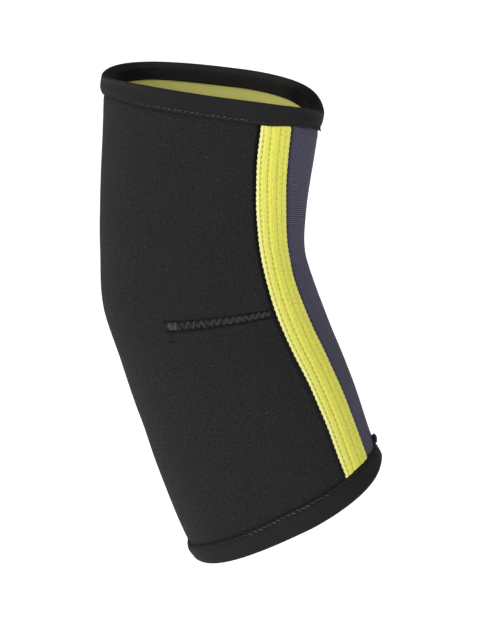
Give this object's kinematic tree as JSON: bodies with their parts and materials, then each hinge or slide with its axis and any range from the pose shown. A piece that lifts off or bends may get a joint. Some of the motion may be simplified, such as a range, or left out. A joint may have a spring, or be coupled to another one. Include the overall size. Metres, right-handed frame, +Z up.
{
  "type": "elbow brace",
  "caption": "Bent elbow support sleeve of dark foam fabric with a ribbed elastic panel in the crook, bright stitched seam tapes and folded bindings at both open ends.",
  "frame": {"origin": "inside the sleeve on the line down the middle of the arm, at the middle of the elbow's bend: where the arm holds it", "axes": "+Z up the upper arm, +X towards the crook of the elbow, +Y towards the side away from the picture's viewer"},
  "size_m": [0.1496, 0.078, 0.2645],
  "materials": {
    "shell_fabric": "matt knitted face on foam, black",
    "panel_elastic": "finely ribbed elastic, slate blue-grey",
    "lining_fabric": "brushed jersey, yellow-green",
    "tape": "ribbed seam tape, bright yellow, lengthwise stitching",
    "binding_fabric": "soft folded binding, black"
  },
  "bodies": {
    "root": {"neoprene_shell": "shell_fabric", "elastic_panel": "panel_elastic", "lining": "lining_fabric", "seam_tape_near": "tape", "seam_tape_far": "tape", "top_binding": "binding_fabric", "bottom_binding": "binding_fabric"}
  },
  "joints": []
}
